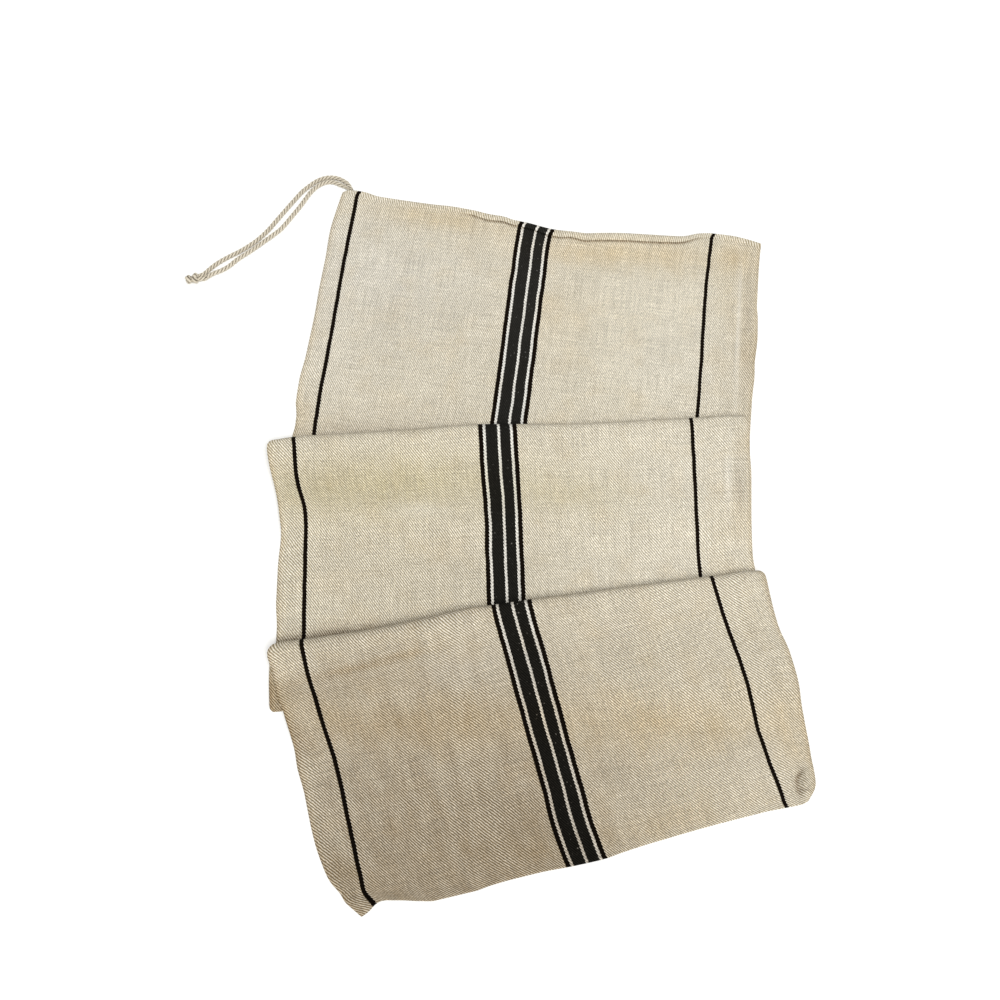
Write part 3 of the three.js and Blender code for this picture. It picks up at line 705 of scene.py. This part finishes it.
class FoldedSheet:
    """The sack's two layers as grids of points, from its side edges and the tables"""

    # Rows: where the even ones start below the hem, and their spacing on the folds, near the bottom and at
    # its edge. Columns at each side: angles on the fold, then places beside it.
    HEM_REACH = 17.0
    TURN_PITCH = 2.3
    BOTTOM_ROWS = 62.0
    BOTTOM_PITCH = 3.2
    END_REACH = 2.4
    END_PITCH = 0.6
    EDGE_ANGLES = (0, 30, 60, 90)
    EDGE_COLUMNS = (4, 6.5, 9, 11.5, 14, 16.5, 19, 22, 25)

    def __init__(self, width, cell):
        self.width = width
        left, places, turns = side_edge(0)
        right = next(side_edge(1))
        along = (lengths_along(left) + lengths_along(right)) / 2
        total = along[-1]
        pitch = np.where(turns > 0, self.TURN_PITCH, cell)
        pitch = np.where(along > total - self.BOTTOM_ROWS, self.BOTTOM_PITCH, pitch)
        pitch = np.where(along > total - self.END_REACH, self.END_PITCH, pitch)
        count = np.concatenate([[0], np.cumsum(np.diff(along) / pitch[1:])])
        first = np.interp(self.HEM_REACH, along, count)
        wanted = np.linspace(first, count[-1], round(count[-1] - first) + 1)
        self.along = np.concatenate([HEM_ROWS, np.interp(wanted, count, along)])

        def at_rows(values):
            columns = np.asarray(values, float).reshape(len(values), -1).T
            return np.squeeze(np.stack([np.interp(self.along, along, column) for column in columns], axis=-1))

        self.left = at_rows(left)
        self.right = at_rows(right)
        self.from_end = total - self.along
        self.places = at_rows(places)
        self.turns = at_rows(turns)
        self.shares = self.column_shares(cell)
        self.from_side = np.minimum(self.shares, 1 - self.shares) * width
        self.tiers = self.row_tiers()
        even = self.place_middle()
        steps = np.linalg.norm(np.diff(even, axis=0, prepend=even[:1]), axis=-1)
        self.warp = np.cumsum(steps, axis=0)
        self.middle = self.shift_sides(even)
        self.forward = np.gradient(self.middle, axis=0)
        self.normals = units(np.cross(self.forward, np.gradient(self.middle, axis=1)))

    def section_column(self, name):
        """A column of the sections, between its rows, for each row of the grid"""
        values = [getattr(row, name) for row in SECTIONS]
        return np.interp(self.places, np.arange(len(SECTIONS)), values)[:, None]

    def across(self, table):
        """A table by share of the width, for each column of the grid"""
        return table_value(table, self.shares)[None, :]

    def down(self, table):
        """A table by length from the mouth, for each row of the grid"""
        return table_value(table, self.along)[:, None]

    def column_shares(self, cell):
        """Places of the columns across the sack as shares of its width, closest at the side folds"""
        fold = [HALF_SACK * (1 - math.cos(math.radians(angle))) for angle in self.EDGE_ANGLES]
        edge = np.array([*fold, *self.EDGE_COLUMNS])
        steps = round((self.width - 2 * edge[-1]) / cell)
        middle = np.linspace(edge[-1], self.width - edge[-1], steps + 1)[1:-1]
        return np.concatenate([edge, middle, self.width - edge[::-1]]) / self.width

    def row_tiers(self):
        """Tier that each row of the front layer shows in, 0 where it is hidden"""
        next_row = np.ceil(self.places - SAME).astype(int)
        tiers = np.array([SECTIONS[number].tier for number in next_row])
        after_turn = np.minimum(np.round(self.places).astype(int) + 1, len(SECTIONS) - 1)
        turned = np.array([SECTIONS[number].tier for number in after_turn])
        return np.where(self.turns > TURNED_OVER, turned, tiers)

    def place_middle(self):
        """Points of the surface halfway between the two layers, before its side edges are made uneven"""
        share = self.shares[None, :]
        along = self.along[:, None]
        across = self.right - self.left
        away = units(np.stack([-across[:, 1], across[:, 0], np.zeros(len(across))], axis=1))
        from_corner = np.linalg.norm(self.left - self.left[-1], axis=1)[:, None]
        beside = bell(from_corner / BEAK_NOTCH.reach) * (self.tiers == BEAK_NOTCH.tier)[:, None]
        notch = BEAK_NOTCH.depth * beside * bell((share - BEAK_NOTCH.across) / BEAK_NOTCH.width)
        bow = self.section_column("bow") * 4 * share * (1 - share)
        crests = np.zeros_like(bow)
        for number, row in enumerate(SECTIONS):
            if row.name in CREST_LINES:
                turn = np.mean(self.along[np.abs(self.places - number) < SAME])
                crests += bell((along - turn) / CREST_REACH) * self.across(CREST_LINES[row.name])
        wave = self.section_column("wave") * self.across(MOUTH_LINE)
        near_hem = np.interp(along, (0, HEM_DEPTH, HEM_FADE), (0, 1, 0))
        hem = near_hem * (HEM_DEPTH - self.across(HEM_LINE))
        drawn_in = bell(self.from_end / BOTTOM_REACH)[:, None] * self.across(BOTTOM_LINE)
        middle = self.left[:, None] + across[:, None] * share[..., None]
        return middle + away[:, None] * (bow + crests + wave + notch + hem + drawn_in)[..., None]

    def shift_sides(self, middle):
        """The same points with uneven side edges and round corners on the folds"""
        share = self.shares[None, :]
        shift = 0
        for side, table, way, beyond in ((0, LEFT_EDGE, -1, share), (1, RIGHT_EDGE, 1, 1 - share)):
            stands_out = self.down(table) - self.corner_insets(side)[:, None]
            near = smooth_step(np.clip(1 - beyond * self.width / EDGE_REACH, 0, 1))
            shift = shift + way * stands_out * near
        middle = middle + units(self.right - self.left)[:, None] * shift[..., None]
        middle[..., 2] = np.maximum(middle[..., 2], LYING)
        return middle

    def corner_insets(self, side):
        """How far each row draws in at one side where the corner of a fold is rounded"""
        edge = (self.left, self.right)[side][:, :2]
        inset = np.zeros(len(edge))
        for number, row in enumerate(SECTIONS):
            if row.radius is None:
                continue
            corner = FOLD_CORNER * row.radius[side]
            behind = np.linalg.norm(edge - np.array((row.left, row.right)[side], float), axis=1)
            bend = np.where(np.abs(self.places - number) < 1, 1 - rounded(behind / corner), 0)
            inset = np.maximum(inset, corner * bend)
        return inset

    def layers(self):
        """Points of the front and the back layer: rounded at the side and bottom folds, thicker at the hem"""
        clear = self.across(HEM_CLEAR)
        fullness = HEM_FLAT + (1 - HEM_FLAT) * clear
        side = rounded(self.from_side / HALF_SACK)[None, :]
        end = rounded(self.from_end / HALF_SACK)[:, None]
        roll = self.down(HEM_ROLL)
        half = (HALF_SACK + roll * fullness) * end * side
        clear = clear * (HALF_SACK * side > EDGE_THIN)
        lift = self.front_lift() * (half > EDGE_THIN) + HEM_RISE * roll * clear
        front = self.middle + self.normals * (half + lift - self.down(HEM_DIP) * clear)[..., None]
        front -= units(self.forward) * (self.down(HEM_TUCK) * clear)[..., None]
        back = self.middle - self.normals * half[..., None]
        for layer in (front, back):
            layer[..., 2] = np.maximum(layer[..., 2], 0)
        return front, back

    def front_lift(self):
        """How far the creases lift the front layer"""
        lift = np.zeros(self.middle.shape[:2])
        plan = self.middle[..., :2]
        for crease in CREASES:
            start = np.array(crease.start, float)
            reach = np.array(crease.end, float) - start
            share = np.clip((plan - start) @ reach / (reach @ reach), 0, 1)
            distance = np.linalg.norm(plan - start - share[..., None] * reach, axis=-1)
            lift += bell(distance / crease.width) * crease.rise * (self.tiers == crease.tier)[:, None]
        return lift

    def cloth_places(self):
        """Distance round the tube from its left seam and along the warp, for both layers"""
        width = np.linalg.norm(self.right - self.left, axis=1)
        margin_left = table_value(LEFT_MARGIN, self.along)
        margin_right = table_value(RIGHT_MARGIN, self.along)
        group = table_value(GROUP_LINE, self.along)
        around = np.empty(self.middle.shape[:2])
        for row, (left, right) in enumerate(zip(margin_left, margin_right)):
            stops = (0, left / width[row], group[row], 1 - right / width[row], 1)
            marks = (LEFT_STRIPE - left, LEFT_STRIPE, GROUP_FROM_SEAM, RIGHT_STRIPE, RIGHT_STRIPE + right)
            around[row] = np.interp(self.shares, stops, marks)
        around -= HEM_LEAN * np.clip(1 - self.along / HEM_DEPTH, 0, 1)[:, None]
        whole = 2 * self.width
        behind = around[:, -1:] + (1 - self.shares) * (whole + around[:, :1] - around[:, -1:])
        return around, behind, self.warp - self.across(MOUTH_LINE)

    def marks(self, kind):
        """Strength of one kind of mark, the same on both layers: stains soak through, and painted shade and
        highlights are given to both alike
        """
        plan = self.middle[..., :2]
        total = np.zeros(plan.shape[:2])
        # Painted shade in the dip under the hem's lower edge
        if kind == "grime_and_shade":
            total += self.down(HEM_DIP_SHADE) * self.across(HEM_CLEAR)
        if kind in EDGE_TINTS:
            strength, reach = EDGE_TINTS[kind]
            total += strength * bell(self.from_side / reach)
        for tier, centre, size, degrees, strength in MARKS[kind]:
            turn = math.radians(degrees)
            axes = np.array([[math.cos(turn), math.sin(turn)], [-math.sin(turn), math.cos(turn)]])
            offset = (plan - np.array(centre, float)) @ axes.T / np.array(size, float)
            here = bell(np.linalg.norm(offset, axis=-1)) * (self.tiers == tier)[:, None]
            total += here * strength
        return np.clip(total, 0, 1)


def finish_piece(bm, name, material, solid):
    """A smooth mesh object at the origin from a finished bmesh, on the only body and in place of a solid"""
    for face in bm.faces:
        face.smooth = True
    mesh = bpy.data.meshes.new(name)
    bm.to_mesh(mesh)
    bm.free()
    mesh.materials.append(material)
    piece = bpy.data.objects.new(name, mesh)
    bpy.context.scene.collection.objects.link(piece)
    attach(piece, "root")
    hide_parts(solid)
    return piece


def numbered_grid(bm, columns, rows):
    """A flat grid of cells: each of its vertices with its column and row number"""
    made = bmesh.ops.create_grid(bm, x_segments=columns, y_segments=rows, size=1.0)
    numbered = []
    for vert in made["verts"]:
        column = round((vert.co.x + 1) / 2 * columns)
        row = round((1 - vert.co.y) / 2 * rows)
        numbered.append((vert, column, row))
    return numbered


def frames_along(line):
    """Directions to the side of a line and across them, carried along it without a twist"""
    tangents = units(np.gradient(line, axis=0))
    start = UP if abs(tangents[0] @ UP) < STEEP else np.array([1.0, 0.0, 0.0])
    side = unit(np.cross(start, tangents[0]))
    sides = []
    for tangent in tangents:
        side = unit(side - tangent * (side @ tangent))
        sides.append(side)
    sides = np.array(sides)
    return sides, np.cross(tangents, sides)


def add_strand(bm, line, radii, core, reach):
    """A closed round strand along a line, with a radius at each point and its ends drawn to a point. core is
    the line that it winds round and reach how far from it the outside of the cord is."""
    normals, across = frames_along(line)
    uv_layer = bm.loops.layers.uv["strand"]
    outside_layer = bm.verts.layers.float["outside"]
    lengths = lengths_along(line)
    girth = 2 * math.pi * np.max(radii)
    cells = numbered_grid(bm, STRAND_SIDES, len(line) - 1)
    strand_place = {}
    for vert, side, row in cells:
        angle = 2 * math.pi * side / STRAND_SIDES
        offset = normals[row] * math.cos(angle) + across[row] * math.sin(angle)
        place = line[row] + radii[row] * offset
        vert.co = Vector(place * MM)
        vert[outside_layer] = np.linalg.norm(place - core[row]) / reach[row]
        strand_place[vert] = (girth * side / STRAND_SIDES * MM, lengths[row] * MM)
    for face in {face for vert, _, _ in cells for face in vert.link_faces}:
        for loop in face.loops:
            loop[uv_layer].uv = strand_place[loop.vert]
    bmesh.ops.remove_doubles(bm, verts=[vert for vert, _, _ in cells], dist=SAME)


def add_laid_cord(bm, line, settings, turn=0.0, size=1.0):
    """Strands laid round a line, S-wise, with rounded ends"""
    lengths = lengths_along(line)
    outer = np.broadcast_to(size, lengths.shape) * settings.diameter / 2 / MM
    strand = outer / (1 + 1 / math.sin(math.pi / settings.strands))
    sideways, upward = frames_along(line)
    from_end = np.minimum(lengths, lengths[-1] - lengths)
    radii = STRAND_SWELL * strand * rounded(from_end / strand)
    for number in range(settings.strands):
        angle = turn + 2 * math.pi * (number / settings.strands - lengths * MM / settings.lay)
        offset = np.cos(angle)[:, None] * sideways + np.sin(angle)[:, None] * upward
        add_strand(bm, line + (outer - strand)[:, None] * offset, radii, line, outer)


def new_cord_mesh():
    """An empty mesh with the layers that the cord's material reads"""
    bm = bmesh.new()
    bm.loops.layers.uv.new("strand")
    bm.verts.layers.float.new("outside")
    return bm


class FEEDSACK_OT_stage(Operator):
    """Makes the camera, the pale floor and the soft light"""

    bl_idname = "feed_sack.stage"
    bl_label = "Stage"

    def execute(self, context):
        settings = context.scene.feed_sack_stage
        scene = context.scene
        back = Vector((0, -math.cos(settings.elevation), math.sin(settings.elevation)))
        camera_data = bpy.data.cameras.new("camera")
        camera_data.sensor_width = SENSOR_WIDTH
        camera_data.lens = settings.lens
        camera = bpy.data.objects.new("camera", camera_data)
        camera.location = Vector(CAMERA_TARGET) * MM + back * settings.distance
        camera.rotation_euler = (math.pi / 2 - settings.elevation, 0, 0)
        scene.collection.objects.link(camera)
        scene.camera = camera

        bm = bmesh.new()
        bmesh.ops.create_grid(bm, x_segments=1, y_segments=1, size=FLOOR_SIZE)
        bmesh.ops.translate(bm, verts=bm.verts, vec=(0, 0, -FLOOR_DROP * MM))
        mesh = bpy.data.meshes.new("floor")
        bm.to_mesh(mesh)
        bm.free()
        mesh.materials.append(pale_board(settings))
        floor = bpy.data.objects.new("floor", mesh)
        scene.collection.objects.link(floor)

        world = bpy.data.worlds.new("studio")
        world.use_nodes = True
        background = world.node_tree.nodes["Background"]
        set_inputs(world.node_tree, background, {"Color": (1, 1, 1, 1), "Strength": settings.fill})
        scene.world = world

        lamp = bpy.data.lights.new("key", "SUN")
        lamp.angle = KEY_SPREAD
        lamp.energy = settings.key
        key = bpy.data.objects.new("key", lamp)
        key.location = KEY_PLACE
        key.rotation_euler = (-key.location).to_track_quat("-Z", "Y").to_euler()
        scene.collection.objects.link(key)
        scene.view_settings.view_transform = "Standard"
        return {"FINISHED"}


class FEEDSACK_OT_tie(Operator):
    """Lays the two legs of the tie cord and ties their knot"""

    bl_idname = "feed_sack.tie"
    bl_label = "Tie Cord"

    def execute(self, context):
        settings = context.scene.feed_sack_tie
        material = laid_cotton(settings)
        height = settings.diameter / 2 / MM + CORD_LIFT
        for name, route in LEG_ROUTES.items():
            line = resample(smooth_line([(x, y, height) for x, y in route], ROUTE_STEPS), LEG_PITCH)
            free = smooth_step(np.clip(lengths_along(line) / SEWN_REACH, 0, 1))
            line = line + SEWN_DRAW * (1 - free)[:, None] * (np.array([*SEWN_AT, height]) - line[0])
            bm = new_cord_mesh()
            add_laid_cord(bm, line, settings, size=SEWN_SIZE + (1 - SEWN_SIZE) * free)
            finish_piece(bm, name + "_cord", material, name)

        knot = self.tie_knot(settings, material)
        return {"FINISHED"}

    @staticmethod
    def tie_knot(settings, material):
        """The collar of both cords, the two cut ends and the thick turns wrapped round them"""
        start = np.array([*KNOT_START, 0.0])
        ahead = unit(np.array([*KNOT_END, 0.0]) - start)
        aside = np.cross(UP, ahead)

        def place(keys):
            return np.array([start + ahead * x + aside * y + UP * z for x, y, z in keys])

        bm = new_cord_mesh()
        for cords, turn in ((COLLAR, COLLAR_TURN), (CUT_ENDS, CUT_TURN)):
            for keys in cords:
                line = smooth_line(place(keys), ROUTE_STEPS)
                add_laid_cord(bm, resample(line, KNOT_PITCH), settings, turn=turn)
        shares = np.linspace(0, 1, WRAP_POINTS)
        for wrap in WRAPS:
            angle = 2 * math.pi * WRAP_TURNS * shares + wrap.turn
            height = wrap.radius * (1 + np.sin(angle)) + wrap.size * settings.diameter / 2 / MM + CORD_LIFT
            ahead_of = wrap.start + (wrap.end - wrap.start) * shares
            keys = np.stack([ahead_of, wrap.aside + wrap.radius * np.cos(angle), height], axis=1)
            add_laid_cord(bm, resample(place(keys), KNOT_PITCH), settings, size=wrap.size)
        return finish_piece(bm, "tie_knot_wraps", material, "tie_knot")


class FEEDSACK_OT_cloth(Operator):
    """Lays the sack's cloth on its folds"""

    bl_idname = "feed_sack.cloth"
    bl_label = "Sack Cloth"

    def execute(self, context):
        settings = context.scene.feed_sack_cloth
        sheet = FoldedSheet(settings.width / MM, settings.cell / MM)
        front, back = sheet.layers()
        around, behind, along = sheet.cloth_places()
        last = len(sheet.shares) - 1
        rows = len(sheet.along) - 1

        bm = bmesh.new()
        uv_layer = bm.loops.layers.uv.new("cloth")
        marks = [(bm.verts.layers.float.new(kind), sheet.marks(kind)) for kind in MARKS]
        weight_layer = bm.verts.layers.deform.verify()
        cloth_place = {}
        for vert, number, row in numbered_grid(bm, 2 * last, rows):
            on_front = number <= last
            column = number if on_front else 2 * last - number
            vert.co = Vector((front if on_front else back)[row, column] * MM)
            cloth_place[vert] = ((around if on_front else behind)[row, column] * MM, along[row, column] * MM)
            for layer, strength in marks:
                vert[layer] = strength[row, column]
            vert[weight_layer][0] = 1.0 if sheet.along[row] < HEM_DOUBLE else SINGLE_LAYER
        for face in bm.faces:
            places = [cloth_place[loop.vert] for loop in face.loops]
            far = max(place[0] for place in places)
            for loop, (x, y) in zip(face.loops, places):
                past_seam = far - x > settings.width
                loop[uv_layer].uv = (x + 2 * settings.width if past_seam else x, y)
        bmesh.ops.remove_doubles(bm, verts=bm.verts, dist=SAME)
        bmesh.ops.recalc_face_normals(bm, faces=bm.faces)
        piece = finish_piece(bm, "sack_cloth_sheet", linen_twill(settings), "sack_cloth")
        piece.vertex_groups.new(name="thickness")
        solid = piece.modifiers.new("thickness", "SOLIDIFY")
        solid.thickness = settings.wall / SINGLE_LAYER
        solid.offset = -1
        solid.vertex_group = "thickness"
        return {"FINISHED"}


class FEEDSACK_PT_panel(Panel):
    """Lists the settings and the operators"""

    bl_label = "Feed Sack"
    bl_idname = "FEEDSACK_PT_panel"
    bl_space_type = "VIEW_3D"
    bl_region_type = "UI"
    bl_category = "Feed Sack"

    def draw(self, context):
        groups = (
            (context.scene.feed_sack_stage, FEEDSACK_OT_stage),
            (context.scene.feed_sack_tie, FEEDSACK_OT_tie),
            (context.scene.feed_sack_cloth, FEEDSACK_OT_cloth),
        )
        for settings, operator in groups:
            box = self.layout.box()
            for name in settings.__annotations__:
                box.prop(settings, name)
            box.operator(operator.bl_idname)


CLASSES = (
    FeedSackCloth,
    FeedSackTie,
    FeedSackStage,
    FEEDSACK_OT_stage,
    FEEDSACK_OT_tie,
    FEEDSACK_OT_cloth,
    FEEDSACK_PT_panel,
)


def register():
    for cls in CLASSES:
        bpy.utils.register_class(cls)
    bpy.types.Scene.feed_sack_cloth = PointerProperty(type=FeedSackCloth)
    bpy.types.Scene.feed_sack_tie = PointerProperty(type=FeedSackTie)
    bpy.types.Scene.feed_sack_stage = PointerProperty(type=FeedSackStage)


def unregister():
    del bpy.types.Scene.feed_sack_stage
    del bpy.types.Scene.feed_sack_tie
    del bpy.types.Scene.feed_sack_cloth
    for cls in reversed(CLASSES):
        bpy.utils.unregister_class(cls)


def main():
    register()
    bpy.ops.feed_sack.stage()
    bpy.ops.feed_sack.tie()
    bpy.ops.feed_sack.cloth()


if __name__ == "__main__":
    main()
